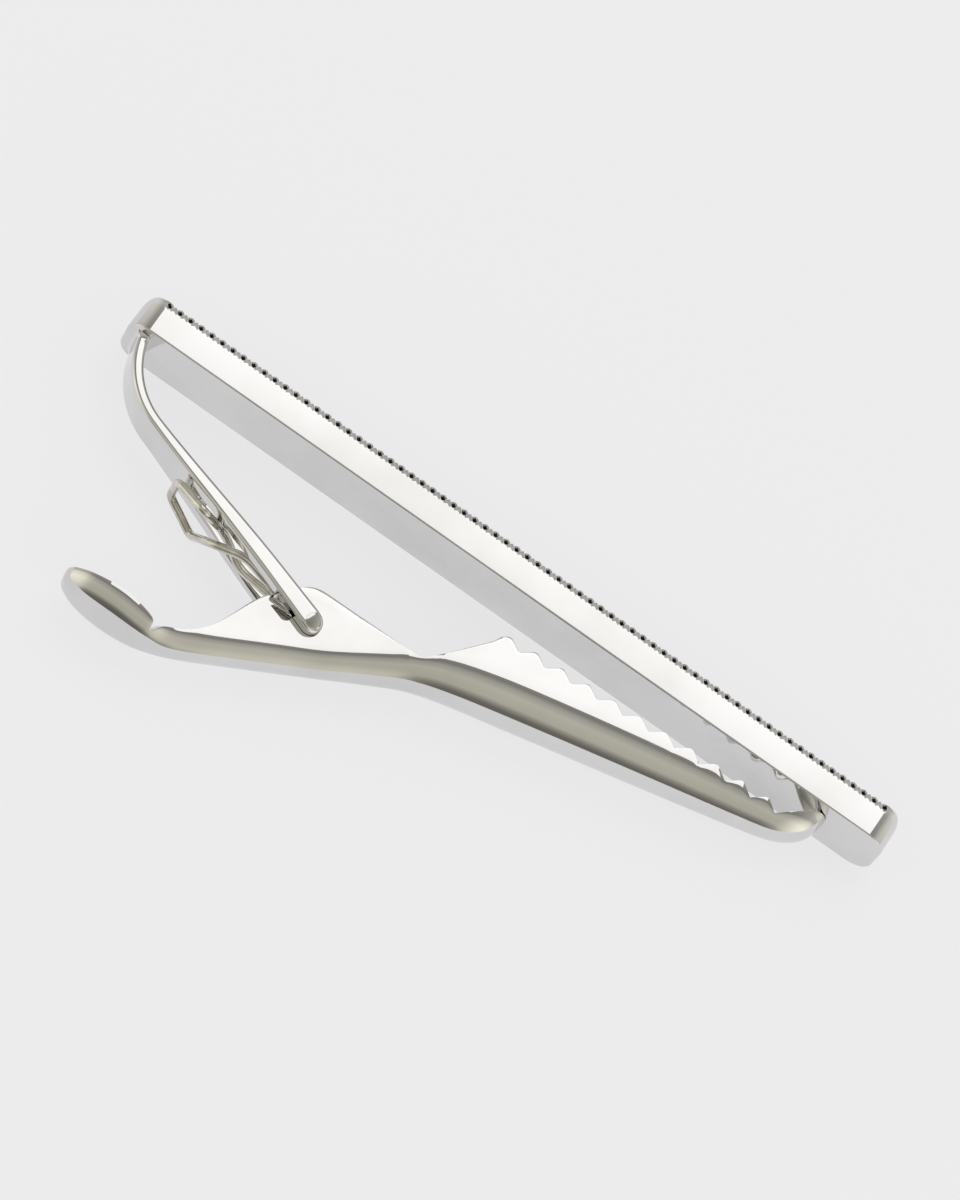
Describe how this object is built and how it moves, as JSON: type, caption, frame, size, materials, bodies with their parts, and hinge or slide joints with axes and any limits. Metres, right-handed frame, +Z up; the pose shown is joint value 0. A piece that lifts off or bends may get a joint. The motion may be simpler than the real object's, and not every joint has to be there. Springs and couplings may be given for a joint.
{
  "type": "tie clip",
  "caption": "Spring tie clip: a slim knurled bar with a forked arm, a toothed pressed jaw on a pivot pin and a bent wire spring that shuts it on the tie.",
  "frame": {"origin": "centre of the bar's lower long side, on which the clip lies", "axes": "+X along the bar from the arm end to the free end, +Y towards the knurled front of the bar, +Z up across the bar's width"},
  "size_m": [0.059, 0.0201, 0.005],
  "materials": {
    "silver_plate": "polished silver-coloured plate on brass",
    "spring_wire": "bright plated spring steel wire",
    "pin_steel": "plain drawn steel, plated with the rest"
  },
  "bodies": {
    "frame": {"bar": "silver_plate", "arm": "silver_plate", "pivot_pin": "pin_steel", "wire_spring": "spring_wire"},
    "jaw": {"jaw": "silver_plate"}
  },
  "joints": [
    {"name": "jaw_pivot", "type": "hinge", "parent": "frame", "child": "jaw", "pos_m": [-0.0088, -0.01133, 0.0025], "axis": [0, 0, -1], "range_deg": [0, 24], "stiffness_Nm_per_rad": 0.03, "springref_deg": -8.59, "deforming": ["wire_spring"]}
  ]
}
